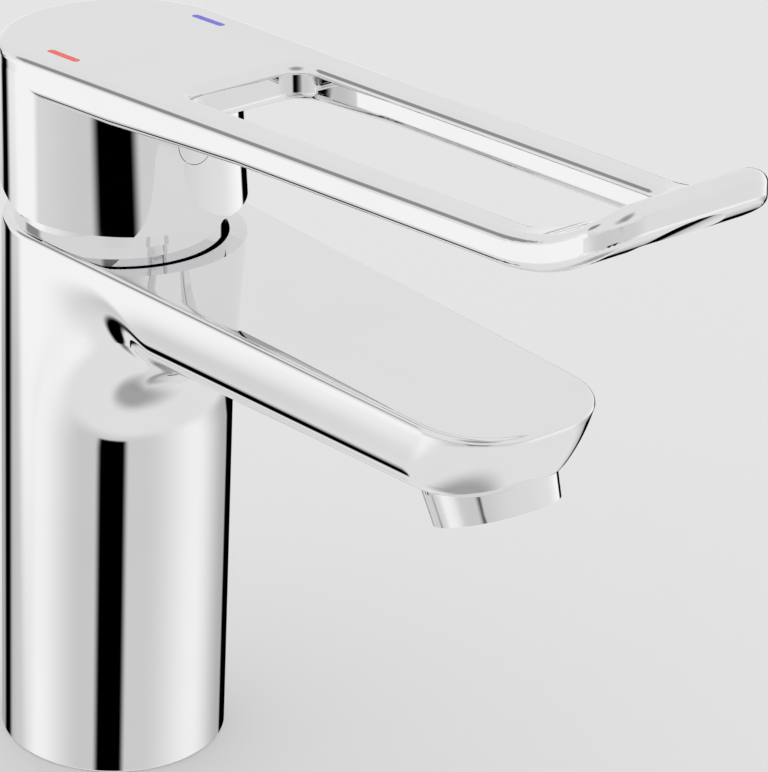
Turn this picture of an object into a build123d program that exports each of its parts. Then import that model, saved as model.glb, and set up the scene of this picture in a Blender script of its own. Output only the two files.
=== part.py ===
from build123d import *
import math
import os

# Elbow lever tap, in millimetres. The origin is the centre of the base on the deck,
# +Z is up, the spout and the lever point along -Y, and +X is on the right.

# Gaps and the one overrun of every cut
overrun = 2.0
running_gap = 0.06
seat_gap = 0.1
swing_gap = 0.4
film_gap = 0.05

# Column, deck end and inlets
column_radius = 22.5
foot_chamfer = 0.4
body_height = 112.05
shank_wall = 3.2
gasket_height = 1.8
gasket_width = 1.6
inlet_block_height = 20.0
inlet_spread = 7.0
inlet_forward = 4.5
inlet_drill_radius = 4.5
inlet_drill_depth = 12.0
inlet_way_radius = 2.6
stud_drill_radius = 3.4
stud_drill_depth = 14.0
stud_backward = 10.0

# Spout, measured down from its sloping top and out from the column's axis
spout_rise_angle = 0.92
underside_rise_angle = 0.8
spout_taper_angle = 2.3
spout_inset = 0.15
spout_depth = 16.6
spout_reach = 121.6
side_draw = 2.4
nose_undercut = 5.6
nose_crown = 1.6
nose_corner_radius = 14.2
nose_corner_growth = 1.3
nose_corner_share = 0.98
underside_radius = 7.0
junction_radius = 8.0
top_edge_radius = 1.2
depth_shares = (0, 0.36, 0.72, 1)
side_draw_power = 3
nose_lean_share = 0.63

# Chamber for the cartridge, waterway and threaded top
chamber_depth = 24.05
chamber_wall = 4.8
gallery_cut = 1.1
gallery_low = 2.0
gallery_high = 16.3
shoulder_rise = 18.0
top_wall = 3.5
waterway_width = 14.0
waterway_height = 5.5
waterway_start_depth = 10.8
waterway_end_depth = 6.6

# Jet nozzle: its axis leans back going up, so the jet leans away from the column
jet_angle = 24.0
jet_setback = 12.7
jet_drop = 20.75
nozzle_radius = 11.4
nozzle_flare = 0.6
nozzle_flare_height = 6.0
nozzle_collar_height = 11.6
nozzle_barrel_radius = 11.0
nozzle_barrel_height = 2.0
nozzle_lip = 1.2
nozzle_mouth_radius = 9.0
nozzle_wall = 1.9
nozzle_recess_gap = 0.15
nozzle_seal_height = 1.0
nozzle_seal_width = 2.9
nozzle_well_height = 1.4
insert_height = 7.0
cell_pitch = 2.75
cell_radius = 1.2
cell_rings = 3
screen_height = 0.9
screen_hole_radius = 0.8
screen_hole_count = 12
screen_ring_share = 2 / 3

# Cartridge, stacked up from the chamber floor
cartridge_gap = 0.4
base_flange_height = 2.6
base_core_height = 4.9
port_radius = 2.2
seal_wire = 1.3
seal_pocket_depth = 1.3
disc_seal_height = 1.2
disc_seal_proud = 0.5
outlet_backward = 5.0
outlet_radius = 3.2
window_height = 3.0
window_width = 16.0
housing_wall = 2.0
housing_step = 3.1
housing_top_wall = 1.2
housing_top_rise = 26.0
housing_roof = 1.0
neck_height = 6.0
neck_wall = 2.5
ring_groove_height = 1.5
ring_groove_depth = 1.1
fixed_disc_height = 4.3
moving_disc_height = 4.1
slider_height = 6.0
slider_setback = 0.5
mixer_depth = 1.5
mixer_radius = 4.0
mixer_lobe_radius = 2.6
mixer_lobe_spread = 6.0
mixer_lobe_backward = 1.4
rail_spread = 6.5
rail_width = 1.6
rail_depth = 1.6
rail_half_length = 6.0

# Stem, its carrier and the pin that it rocks on
pivot_rise = 30.0
lift_angle = 25.0
stem_drop = 9.0
ball_radius = 2.4
stem_arm_radius = 1.9
tongue_width = 6.0
tongue_thickness = 5.0
tongue_rise = 6.8
square_side = 8.0
square_height = 11.7
square_gap = 0.1
carrier_radius = 8.9
carrier_flange_gap = 0.8
carrier_flange_height = 2.8
carrier_rise = 4.0
pin_radius = 1.5
pin_end_gap = 0.3

# Nut, temperature limit ring and the domed cap over them
nut_bore_gap = 0.2
nut_crown_height = 3.2
nut_notch_width = 5.0
nut_notch_depth = 2.0
nut_notch_count = 6
nut_lift = 0.35
limit_ring_width = 2.4
limit_ring_height = 3.0
limit_tab_width = 4.0
cap_setback = 2.3
cap_wall = 1.0
cap_dome_rise = 8.0
cap_lip_width = 3.5

# Lever, in its own frame: the plate's top is the plane of heights, the spout side is forward
plate_tilt_angle = 4.12
plate_rise = 29.36
hub_wall = 1.8
hub_backward = 1.1
hub_flare_angle = 1.55
hub_start_drop = 2.0
arm_taper_angle = 1.4
lever_reach = 152.0
tip_crown = 0.3
tip_corner_radius = 7.0
loop_start = 35.5
tip_bar = 18.0
arm_start_width = 8.12
arm_end_width = 6.32
loop_start_radius = 5.0
loop_end_radius = 8.0
arm_thickness = 6.2
plate_thickness = 7.6
plate_step_start = 24.0
plate_step_end = 60.0
lip_length = 27.0
lip_radius = 35.3
lip_under_radius = 39.7
lip_angle = 54.0
hollow_radius = 50.0
hollow_rise = 4.6
hollow_angle = 32.6
plate_top_radius = 2.0
plate_bottom_radius = 1.8
rim_rise = 4.25
rim_relief_angle = 15.3
cavity_gap = 0.7
cavity_straight = 6.0
cavity_draw = 1.9
cavity_roof_rise = 20.6
stem_boss_radius = 7.0
stem_boss_rise = 9.0

# Grub screw in the front of the hub, and the cover over it
screw_rise = 14.7
screw_radius = 2.5
screw_length = 10.0
screw_socket_radius = 1.45
screw_socket_depth = 2.6
screw_boss_radius = 5.0
cover_radius = 4.0
cover_depth = 2.2
cover_gap = 0.12

# Temperature marks let into the plate
mark_inset = 5.9
mark_start = 0.0
mark_length = 9.0
mark_width = 1.4
mark_depth = 0.5

# Heights and radii that follow from the sizes above
chamber_floor = body_height - chamber_depth
block_floor = chamber_floor - inlet_block_height
shank_radius = column_radius - shank_wall
chamber_radius = column_radius - chamber_wall
gallery_radius = chamber_radius + gallery_cut
thread_radius = column_radius - top_wall
shoulder_level = chamber_floor + shoulder_rise
housing_radius = chamber_radius - cartridge_gap
housing_bore = housing_radius - housing_wall
cavity_radius = housing_radius - housing_step
housing_top_radius = cavity_radius + housing_top_wall
base_flange_top = chamber_floor + base_flange_height
base_top = base_flange_top + base_core_height
disc_seat = base_top + disc_seal_proud
fixed_disc_top = disc_seat + fixed_disc_height
moving_disc_low = fixed_disc_top + film_gap
moving_disc_top = moving_disc_low + moving_disc_height
slider_top = moving_disc_top + slider_height
housing_cavity_top = chamber_floor + housing_top_rise
housing_top = housing_cavity_top + housing_roof
neck_top = housing_top + neck_height
neck_bore = carrier_radius + running_gap
neck_radius = neck_bore + neck_wall
pivot_level = chamber_floor + pivot_rise
ball_level = pivot_level - stem_drop
carrier_flange_top = housing_cavity_top - seat_gap
carrier_low = carrier_flange_top - carrier_flange_height
carrier_top = pivot_level + carrier_rise
square_low = pivot_level + tongue_rise
stem_top = square_low + square_height
disc_travel = stem_drop * math.radians(lift_angle)
moving_disc_radius = cavity_radius - disc_travel - swing_gap
slider_radius = moving_disc_radius - slider_setback
cap_radius = column_radius - cap_setback
cap_bore = cap_radius - cap_wall
cap_top = pivot_level + cap_dome_rise
nut_radius = thread_radius - running_gap
nut_crown_radius = cap_bore - cavity_gap / 2
nut_bore = housing_top_radius + nut_bore_gap
lever_cavity_radius = cap_radius + cavity_gap
hub_radius = lever_cavity_radius + hub_wall
plate_level = pivot_level + plate_rise
cavity_roof = pivot_level + cavity_roof_rise
rim_level = body_height + rim_rise
mark_spread = hub_radius - mark_inset
loop_end = lever_reach - tip_bar
lip_start = lever_reach - lip_length
screw_level = pivot_level + screw_rise
screw_start = square_side / 2 + film_gap
screw_end = screw_start + screw_length
inlet_places = ((-inlet_spread, -inlet_forward), (inlet_spread, -inlet_forward))
jet_forward = spout_reach - jet_setback
jet_level = body_height + jet_forward * math.tan(math.radians(spout_rise_angle)) - jet_drop
jet_frame = Pos(0, -jet_forward, jet_level) * Rot(X=-jet_angle)
lever_frame = Pos(0, 0, plate_level) * Rot(X=-plate_tilt_angle)


def spout_plane(share):
    """The plane of the spout's outline at a share of its depth: each lower one rises more to the nose."""
    rise = math.radians(spout_rise_angle + underside_rise_angle * share)
    origin = (0, 0, body_height - spout_depth * share)
    return Plane(origin=origin, x_dir=(1, 0, 0), z_dir=(0, math.sin(rise), math.cos(rise)))


top_frame = spout_plane(0)


def upright(radius, low, high, x=0, y=0):
    """A cylinder from one height to another, standing at a place in plan."""
    return Pos(x, y, (low + high) / 2) * Cylinder(radius, high - low)


def tube(outer, inner, low, high, x=0, y=0):
    """A ring with square edges between two heights."""
    return upright(outer, low, high, x, y) - upright(inner, low - overrun, high + overrun, x, y)


def block(width, back, front, low, high, x=0):
    """A box centred on one x, from y = back to y = -front, between two heights."""
    return Pos(x, (back - front) / 2, (low + high) / 2) * Box(width, back + front, high - low)


def turned(points):
    """A solid of revolution about the vertical axis from an outline of (radius, height) points."""
    outline = make_face(Plane.XZ * Polyline(*points, close=True))
    return revolve(outline, Axis.Z)


def along_x(radius, half_length, y, z):
    """A cylinder lying along X."""
    return Pos(0, y, z) * Rot(Y=90) * Cylinder(radius, 2 * half_length)


def along_y(radius, start, end, z):
    """A cylinder lying along -Y from one reach to another."""
    return Pos(0, -(start + end) / 2, z) * Rot(X=90) * Cylinder(radius, end - start)


def spout_outline(share):
    """The spout's plan at a share of its depth: tapering sides and a crowned nose with round corners."""
    half = column_radius - spout_inset - side_draw * share ** side_draw_power
    reach = spout_reach - nose_undercut * (nose_lean_share * share + (1 - nose_lean_share) * share ** 2)
    shoulder = reach - nose_crown
    narrow = half - (shoulder - nose_corner_radius) * math.tan(math.radians(spout_taper_angle))
    corner = min(nose_corner_radius + nose_corner_growth * share, nose_corner_share * narrow)
    sides = Line((half, 0), (-half, 0)) + Line((-half, 0), (-narrow, -shoulder))
    nose = ThreePointArc((-narrow, -shoulder), (0, -reach), (narrow, -shoulder))
    face = make_face(sides + nose + Line((narrow, -shoulder), (half, 0)))
    front = [corner_point for corner_point in face.vertices() if corner_point.Y < -shoulder / 2]
    return spout_plane(share) * fillet(front, corner)


def lies_in(edge, plane):
    """True for an edge that lies in the plane."""
    edge_shares = (0, 0.3, 0.6, 1)
    return all(abs((edge @ share - plane.origin).dot(plane.z_dir)) < film_gap for share in edge_shares)


def lies_on_column(edge):
    """True for an edge that lies on the column's round wall."""
    edge_shares = (0, 0.25, 0.5, 0.75, 1)
    points = [edge @ share for share in edge_shares]
    return all(abs(math.hypot(point.X, point.Y) - column_radius) < film_gap for point in points)


def tap_shell():
    """The cast outside: column, spout, the soft joint under the spout and the rounded top edge."""
    sections = [spout_outline(share) for share in depth_shares]
    hull = loft([section.faces()[0] for section in sections])
    keel = [
        edge for edge in hull.edges()
        if lies_in(edge, spout_plane(1)) and min((edge @ 0).Y, (edge @ 1).Y) < -film_gap - overrun
    ]
    hull = fillet(keel, underside_radius)
    spout = hull + extrude(sections[0], amount=spout_inset + overrun)
    column = upright(column_radius, 0, body_height + 2 * overrun)
    joined = column + spout
    joint = [
        edge for edge in joined.edges()
        if lies_on_column(edge) and (edge @ 0.5).Y < -film_gap and block_floor < (edge @ 0.5).Z < body_height
    ]
    joined = fillet(joint, junction_radius)
    joined -= extrude(top_frame * Rectangle(4 * spout_reach, 4 * spout_reach), amount=spout_depth)
    rim = [edge for edge in joined.edges() if lies_in(edge, top_frame)]
    joined = fillet(rim, top_edge_radius)
    foot = joined.edges().sort_by(Axis.Z)[0]
    return chamfer(foot, foot_chamfer)


def waterway():
    """The passage from the gallery round the cartridge to the well above the nozzle."""
    start = Vector(0, -chamber_radius + overrun, body_height - waterway_start_depth)
    end = Vector(0, -jet_forward + nozzle_barrel_radius, jet_level + jet_drop - waterway_end_depth)
    run = end - start
    across = Plane(origin=start, x_dir=(1, 0, 0), z_dir=run)
    return extrude(across * SlotOverall(waterway_width, waterway_height), amount=run.length)


def nozzle_bore():
    """The stepped bore that the jet nozzle screws into, about the leaning jet axis."""
    collar_top = nozzle_collar_height + seat_gap
    barrel_top = nozzle_collar_height + nozzle_barrel_height + nozzle_seal_height
    collar_radius = nozzle_radius + nozzle_flare + nozzle_recess_gap
    bore = upright(collar_radius, -overrun, collar_top)
    bore += upright(nozzle_barrel_radius + running_gap, 0, barrel_top)
    bore += upright(nozzle_barrel_radius - nozzle_seal_width, 0, barrel_top + nozzle_well_height)
    return jet_frame * bore


def make_tap_body():
    """One casting: column, spout, hose inlets, stud hole, cartridge chamber, waterway and nozzle bore."""
    body = tap_shell()
    body -= upright(shank_radius, -overrun, block_floor)
    body -= upright(shank_radius + gasket_width, -overrun, gasket_height)
    for x, y in inlet_places:
        body -= upright(inlet_drill_radius, block_floor - overrun, block_floor + inlet_drill_depth, x, y)
        body -= upright(inlet_way_radius, block_floor, chamber_floor + overrun, x, y)
    body -= upright(stud_drill_radius, block_floor - overrun, block_floor + stud_drill_depth, 0, stud_backward)
    body -= upright(chamber_radius, chamber_floor, body_height + overrun)
    body -= upright(gallery_radius, chamber_floor + gallery_low, chamber_floor + gallery_high)
    body -= upright(thread_radius, shoulder_level, body_height + overrun)
    body -= waterway()
    return body - nozzle_bore()


def make_base_gasket():
    return tube(shank_radius + gasket_width, shank_radius, 0, gasket_height)


def make_base_seals():
    """The two rings between the inlets in the chamber floor and the cartridge."""
    return [
        tube(port_radius + seal_wire + seat_gap, port_radius + seat_gap, chamber_floor,
             chamber_floor + seal_pocket_depth, x, y)
        for x, y in inlet_places
    ]


def port_pattern(radius, low, high, outlet):
    """The two inlet ports and, where asked for, the outlet port."""
    ports = [upright(radius, low, high, x, y) for x, y in inlet_places]
    if outlet:
        ports.append(upright(outlet_radius, low, high, 0, outlet_backward))
    return ports


def make_cartridge_base():
    """The cartridge's foot: a flange, a core with ports, seal pockets and a side way out to the gallery."""
    base = upright(housing_radius, chamber_floor, base_flange_top)
    base += upright(housing_bore - seat_gap, base_flange_top, base_top)
    base -= port_pattern(port_radius, chamber_floor - overrun, base_top + overrun, False)
    base -= port_pattern(port_radius + seal_wire + seat_gap, chamber_floor - overrun,
                         chamber_floor + seal_pocket_depth, False)
    base -= upright(outlet_radius, base_flange_top, base_top + overrun, 0, outlet_backward)
    window_low = base_flange_top + seat_gap
    base -= block(2 * outlet_radius, housing_radius + overrun, -outlet_backward, window_low,
                  window_low + window_height)
    base -= seal_rings(seat_gap, base_top - disc_seal_height + disc_seal_proud, base_top + overrun)
    return base


def seal_rings(spare, low, high):
    """Rings round the ports under the fixed disc, as wide as asked for."""
    rings = []
    for x, y, hole in (*((x, y, port_radius) for x, y in inlet_places), (0, outlet_backward, outlet_radius)):
        inner = hole + seat_gap
        rings.append(upright(inner + seal_wire + spare, low, high, x, y) - upright(hole, low, high, x, y))
    return rings


def make_disc_seals():
    """Three rings that press against the underside of the fixed disc."""
    low = base_top - disc_seal_height + disc_seal_proud
    return [
        tube(hole + seat_gap + seal_wire, hole + seat_gap, low, disc_seat, x, y)
        for x, y, hole in (*((x, y, port_radius) for x, y in inlet_places), (0, outlet_backward, outlet_radius))
    ]


def make_cartridge_housing():
    """The cartridge's shell: a cup over the discs, a groove for its ring and a neck for the carrier."""
    shell = upright(housing_radius, base_flange_top, shoulder_level)
    shell += upright(housing_top_radius, shoulder_level, housing_top)
    shell += upright(neck_radius, housing_top, neck_top)
    shell -= upright(housing_bore, base_flange_top - overrun, base_top + seat_gap)
    shell -= upright(cavity_radius, base_flange_top, housing_cavity_top)
    shell -= upright(neck_bore, housing_cavity_top - overrun, neck_top + overrun)
    shell -= block(window_width, housing_radius + overrun, 0, base_flange_top + seat_gap,
                   base_flange_top + seat_gap + window_height)
    groove_low = chamber_floor + gallery_high + film_gap
    shell -= tube(housing_radius + overrun, housing_radius - ring_groove_depth, groove_low,
                  groove_low + ring_groove_height)
    return shell


def make_housing_seal():
    low = chamber_floor + gallery_high + 2 * film_gap
    return tube(chamber_radius - film_gap, housing_radius - ring_groove_depth + film_gap, low,
                low + ring_groove_height - 2 * film_gap)


def make_fixed_disc():
    """The ceramic disc that stays still: two inlets and an outlet through it."""
    disc = upright(cavity_radius - seat_gap, disc_seat, fixed_disc_top)
    return disc - port_pattern(port_radius, disc_seat - overrun, fixed_disc_top + overrun, True)


def make_moving_disc():
    """The ceramic disc that slides: its hollow joins the inlets to the outlet when it moves forward."""
    disc = upright(moving_disc_radius, moving_disc_low, moving_disc_top)
    low = moving_disc_low - overrun
    high = moving_disc_low + mixer_depth
    hollow = upright(mixer_radius, low, high, 0, outlet_backward - seat_gap)
    for side in (-1, 1):
        hollow += upright(mixer_lobe_radius, low, high, side * mixer_lobe_spread, mixer_lobe_backward)
    hollow += block(2 * mixer_lobe_spread, mixer_lobe_backward + mixer_lobe_radius, -mixer_lobe_backward, low, high)
    return disc - hollow


def make_disc_slider():
    """The piece on the moving disc that the stem's ball pushes and the carrier's rails guide."""
    slider = upright(slider_radius, moving_disc_top, slider_top)
    pocket = ball_radius + swing_gap
    mouth = pocket + stem_drop * (1 - math.cos(math.radians(lift_angle))) + seat_gap
    floor_level = ball_level - ball_radius - swing_gap
    slider -= upright(pocket, floor_level, slider_top + overrun)
    slider -= Pos(0, 0, slider_top) * Cone(pocket, mouth, slider_top - ball_level)
    groove = rail_width + 2 * seat_gap
    groove_low = slider_top - rail_depth
    for side in (-1, 1):
        slider -= block(groove, slider_radius, slider_radius, groove_low, slider_top + overrun,
                        side * rail_spread)
    return slider


def make_stem_carrier():
    """The turning piece in the neck: flange, boss, rails below and a slot that the stem rocks in."""
    flange_radius = cavity_radius - carrier_flange_gap
    lift = math.radians(lift_angle)
    half = tongue_thickness / 2
    carrier = upright(flange_radius, carrier_low, carrier_flange_top)
    carrier += upright(carrier_radius, carrier_flange_top, carrier_top)
    for side in (-1, 1):
        rail_low = slider_top - rail_depth + seat_gap
        carrier += block(rail_width, rail_half_length, rail_half_length, rail_low, carrier_low,
                         side * rail_spread)
    width = tongue_width + 2 * seat_gap
    still = half + swing_gap
    lower_reach = (pivot_level - carrier_low) * math.sin(lift) + half / math.cos(lift) + swing_gap
    upper_reach = (carrier_top - pivot_level) * math.sin(lift) + half / math.cos(lift) + swing_gap
    carrier -= block(width, still, lower_reach, carrier_low - overrun, pivot_level)
    carrier -= block(width, upper_reach, still, pivot_level - half, carrier_top + overrun)
    return carrier - along_x(pin_radius + film_gap / 2, carrier_radius + overrun, 0, pivot_level)


def make_pivot_pin():
    return along_x(pin_radius, carrier_radius - pin_end_gap, 0, pivot_level)


def make_cartridge_stem():
    """The stem: ball and arm below the pin, a flat tongue on it and a square end for the lever."""
    arm_top = pivot_level - tongue_thickness
    stem = Pos(0, 0, ball_level) * Sphere(ball_radius)
    stem += upright(stem_arm_radius, ball_level, arm_top + overrun)
    stem += block(tongue_width, tongue_thickness / 2, tongue_thickness / 2, arm_top, square_low)
    square = block(square_side, square_side / 2, square_side / 2, square_low, stem_top)
    square = chamfer(square.faces().sort_by(Axis.Z)[-1].edges(), foot_chamfer)
    stem += square
    return stem - along_x(pin_radius + running_gap, square_side, 0, pivot_level)


def make_cartridge_nut():
    """The threaded ring that holds the cartridge down, with a notched crown for its wrench."""
    crown_low = body_height + nut_lift
    crown_top = crown_low + nut_crown_height
    nut = tube(nut_radius, nut_bore, shoulder_level, crown_low)
    nut += tube(nut_crown_radius, nut_bore, crown_low, crown_top)
    for step in range(nut_notch_count):
        notch = block(nut_notch_width, nut_crown_radius + overrun, -nut_bore + overrun,
                      crown_top - nut_notch_depth, crown_top + overrun)
        nut -= Rot(Z=360 / nut_notch_count * step) * notch
    return nut


def make_temperature_stop():
    """The limit ring round the neck, with a tab on its rim."""
    inner = neck_radius + seat_gap
    outer = inner + limit_ring_width
    ring = tube(outer, inner, housing_top, housing_top + limit_ring_height)
    tab = block(limit_tab_width, -inner - seat_gap, outer + seat_gap, housing_top,
                housing_top + limit_ring_height + seat_gap)
    return ring + tab


def make_cartridge_cap():
    """The domed cap: a straight skirt, then a zone of a sphere about the stem's pin, and a lip."""
    dome_angle = math.asin(cap_dome_rise / cap_radius)
    edge_radius = cap_radius * math.cos(dome_angle)
    lip_inner = edge_radius - cap_lip_width
    low = body_height - overrun
    skirt = Line((cap_radius, low), (cap_radius, pivot_level))
    dome = CenterArc((0, pivot_level), cap_radius, 0, math.degrees(dome_angle))
    inside = Polyline(
        (edge_radius, cap_top),
        (lip_inner, cap_top),
        (lip_inner, cap_top - cap_wall),
        (edge_radius - cap_wall, cap_top - cap_wall),
        (cap_bore, pivot_level),
        (cap_bore, low),
        (cap_radius, low),
    )
    cap = revolve(make_face(Plane.XZ * (skirt + dome + inside)), Axis.Z)
    below = extrude(top_frame * Rectangle(4 * cap_radius, 4 * cap_radius), amount=-2 * overrun - cap_wall)
    return cap - below


def arm_outside(forward):
    """Half the lever's width at a distance in front of its frame: the arms leave the hub on its tangents."""
    taper = math.radians(arm_taper_angle)
    start_y = hub_backward - hub_radius * math.sin(taper)
    return hub_radius * math.cos(taper) - (start_y + forward) * math.tan(taper)


def lever_plan():
    """The lever's outline: a round hub, arms that start on its tangents and taper, and a crowned tip."""
    start_y = hub_backward - hub_radius * math.sin(math.radians(arm_taper_angle))
    start_x = arm_outside(-start_y)
    shoulder = lever_reach - tip_crown
    tip_x = arm_outside(shoulder)
    near = Line((start_x, start_y), (-start_x, start_y)) + Line((-start_x, start_y), (-tip_x, -shoulder))
    tip = ThreePointArc((-tip_x, -shoulder), (0, -lever_reach), (tip_x, -shoulder))
    arms = make_face(near + tip + Line((tip_x, -shoulder), (start_x, start_y)))
    front = [point for point in arms.vertices() if point.Y < -shoulder / 2]
    return fillet(front, tip_corner_radius) + Pos(0, hub_backward) * Circle(hub_radius)


def loop_plan():
    """The opening between the arms."""
    start_x = arm_outside(loop_start) - arm_start_width
    end_x = arm_outside(loop_end) - arm_end_width
    corners = ((-start_x, -loop_start), (start_x, -loop_start), (end_x, -loop_end), (-end_x, -loop_end))
    outline = Polyline(*corners, close=True)
    face = make_face(outline)
    middle = -(loop_start + loop_end) / 2
    rear = fillet([point for point in face.vertices() if point.Y > middle], loop_start_radius)
    return fillet([point for point in rear.vertices() if point.Y < middle], loop_end_radius)


def lever_side():
    """The lever's side view: a flat plate that thins to the arms and curls up into the lip."""
    back = -hub_radius - 2 * hub_backward
    curl_top = CenterArc((-lip_start, lip_radius), lip_radius, -90, -lip_angle)
    under_centre = (-lip_start, lip_under_radius - arm_thickness)
    curl_low = CenterArc(under_centre, lip_under_radius, -90, -lip_angle)
    top = Line((-back, 0), (-lip_start, 0))
    tip = Line(curl_top @ 1, curl_low @ 1)
    low = Polyline(
        (-lip_start, -arm_thickness),
        (-plate_step_end, -arm_thickness),
        (-plate_step_start, -plate_thickness),
        (-back, -plate_thickness),
        (-back, 0),
    )
    return make_face(Plane.YZ * (top + curl_top + tip + curl_low + low))


def outer_edges(solid, up):
    """The edges round the faces that look up (1) or down (-1), without those between two such faces."""
    least_share = 0.5
    faces = [face for face in solid.faces() if face.normal_at(face.center()).Z * up > least_share]
    counts = {}
    for face in faces:
        for edge in face.edges():
            counts.setdefault(hash(edge), []).append(edge)
    return [edges[0] for edges in counts.values() if len(edges) == 1]


def lever_plate():
    """The elbow loop: plan and side view crossed, opened between the arms and rounded all round."""
    height = 2 * lip_radius
    ring = extrude(lever_plan(), amount=height, both=True) - extrude(loop_plan(), amount=2 * height, both=True)
    plate = ring & extrude(lever_side(), amount=2 * hub_radius, both=True)
    plate = fillet(outer_edges(plate, 1), plate_top_radius)
    plate = fillet(outer_edges(plate, -1), plate_bottom_radius)
    return plate - finger_hollow()


def finger_hollow():
    """The shallow groove under the lip, sloping up to the lip's front edge."""
    groove = along_y(hollow_radius, -lever_reach, lever_reach, -hollow_radius)
    return Pos(0, -lever_reach, hollow_rise) * Rot(X=-hollow_angle) * groove


def hub_outside():
    """The hub's flared skirt, square to the plate, from just under its top to below the rim."""
    length = plate_level - rim_level + overrun * 2
    flare = math.tan(math.radians(hub_flare_angle))
    wide = hub_radius + (length - hub_start_drop) * flare
    cone = Cone(wide, hub_radius - film_gap, length - hub_start_drop)
    return Pos(0, hub_backward, -(length + hub_start_drop) / 2) * cone


def below_rim():
    """What lies under the hub's rim: level in front, then rising to the rear so the lever can lift."""
    far = 2 * hub_radius
    low = rim_level - 4 * rim_rise
    rise = far * math.tan(math.radians(rim_relief_angle))
    outline = Polyline((-far, low), (far, low), (far, rim_level + rise), (0, rim_level), (-far, rim_level), close=True)
    return extrude(make_face(Plane.YZ * outline), amount=far, both=True)


def lever_cavity():
    """The room for the cap: a straight bore past the pin, then a taper up to the roof."""
    straight_top = pivot_level + cavity_straight
    return turned((
        (0, body_height - overrun),
        (lever_cavity_radius, body_height - overrun),
        (lever_cavity_radius, straight_top),
        (lever_cavity_radius - cavity_draw, cavity_roof),
        (0, cavity_roof),
    ))


def stem_socket():
    """Inside the hub: the boss on the stem, and the rib that carries the grub screw to the front wall."""
    boss_low = pivot_level + stem_boss_rise
    wall = lever_cavity_radius - cavity_draw / 2
    socket = upright(stem_boss_radius, boss_low, cavity_roof + overrun)
    socket += along_y(screw_boss_radius, 0, wall, screw_level)
    return socket + block(2 * screw_boss_radius, 0, wall, screw_level, cavity_roof + overrun)


def mark(side, spare):
    """One temperature mark: a short bar with round ends, let into the plate."""
    bar = Pos(side * mark_spread, -mark_start - mark_length / 2, 0) * Rot(Z=90)
    bar *= SlotOverall(mark_length + spare, mark_width + spare)
    return extrude(bar, amount=-mark_depth)


def make_lever():
    """The lever in one casting: elbow loop with a curled lip, flared hub, rim relief and stem socket."""
    lever = lever_frame * (lever_plate() + hub_outside())
    lever -= below_rim()
    lever -= lever_cavity()
    lever += stem_socket()
    half = square_side / 2 + square_gap
    lever -= block(2 * half, half, half, pivot_level, stem_top + seat_gap)
    lever -= along_y(screw_radius + film_gap, 0, 2 * hub_radius, screw_level)
    lever -= along_y(cover_radius, screw_cover_seat(), 2 * hub_radius, screw_level)
    for side in (-1, 1):
        lever -= lever_frame * mark(side, 2 * film_gap)
    return lever


def screw_cover_seat():
    """How far forward the cover's seat lies: a cover's depth inside the hub's front."""
    flare = math.tan(math.radians(hub_flare_angle))
    drop = (plate_level - screw_level) / math.cos(math.radians(plate_tilt_angle))
    front = hub_radius + (drop - hub_start_drop) * flare
    lean = drop * math.sin(math.radians(plate_tilt_angle))
    return front - hub_backward + lean - cover_depth


def make_grub_screw():
    """A headless screw from the stem's flat to the front, with a hexagon socket."""
    screw = along_y(screw_radius, screw_start, screw_end, screw_level)
    socket = Pos(0, -screw_end - overrun, screw_level) * Rot(X=-90)
    socket *= RegularPolygon(screw_socket_radius, 6)
    return screw - extrude(socket, amount=screw_socket_depth + overrun)


def make_screw_cover():
    """The round cover over the screw: it ends on the hub's own curve."""
    seat = screw_cover_seat()
    plug = along_y(cover_radius - cover_gap, seat, seat + 2 * cover_depth, screw_level)
    return plug & (lever_frame * hub_outside())


def make_hot_mark():
    return lever_frame * mark(-1, 0)


def make_cold_mark():
    return lever_frame * mark(1, 0)


def make_aerator_housing():
    """The nozzle's shell: a flared collar, a threaded barrel and a lip that holds the insert."""
    collar_radius = nozzle_radius + nozzle_flare
    barrel_top = nozzle_collar_height + nozzle_barrel_height
    bore = nozzle_barrel_radius - nozzle_wall + seat_gap
    shell = turned((
        (nozzle_mouth_radius, 0),
        (nozzle_radius, 0),
        (collar_radius, nozzle_flare_height),
        (collar_radius, nozzle_collar_height),
        (nozzle_barrel_radius, nozzle_collar_height),
        (nozzle_barrel_radius, barrel_top),
        (bore, barrel_top),
        (bore, nozzle_lip),
        (nozzle_mouth_radius - nozzle_lip / 2, nozzle_lip),
    ))
    return jet_frame * shell


def make_aerator_insert():
    """The jet former: a short plug pierced by a honeycomb of straight cells."""
    radius = nozzle_barrel_radius - nozzle_wall
    low = nozzle_lip + film_gap
    insert = upright(radius, low, low + insert_height)
    cell = Pos(0, 0, low - overrun) * extrude(RegularPolygon(cell_radius, 6), amount=insert_height + 2 * overrun)
    cells = []
    for row in range(-cell_rings, cell_rings + 1):
        for column in range(-cell_rings, cell_rings + 1):
            if abs(row + column) <= cell_rings:
                x = cell_pitch * (column + row / 2)
                y = cell_pitch * row * math.sqrt(3) / 2
                cells.append(Pos(x, y, 0) * cell)
    return jet_frame * (insert - cells)


def make_aerator_screen():
    """The flow plate on top of the insert, with a ring of small holes."""
    radius = nozzle_barrel_radius - nozzle_wall
    low = nozzle_lip + insert_height + 2 * film_gap
    plate = upright(radius, low, low + screen_height)
    for step in range(screen_hole_count):
        turn = Rot(Z=360 / screen_hole_count * step)
        plate -= turn * upright(screen_hole_radius, low - overrun, low + screen_height + overrun, radius * screen_ring_share)
    return jet_frame * plate


def make_aerator_seal():
    low = nozzle_collar_height + nozzle_barrel_height
    outer = nozzle_barrel_radius - seat_gap
    return jet_frame * tube(outer, nozzle_barrel_radius - nozzle_seal_width, low, low + nozzle_seal_height)


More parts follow.
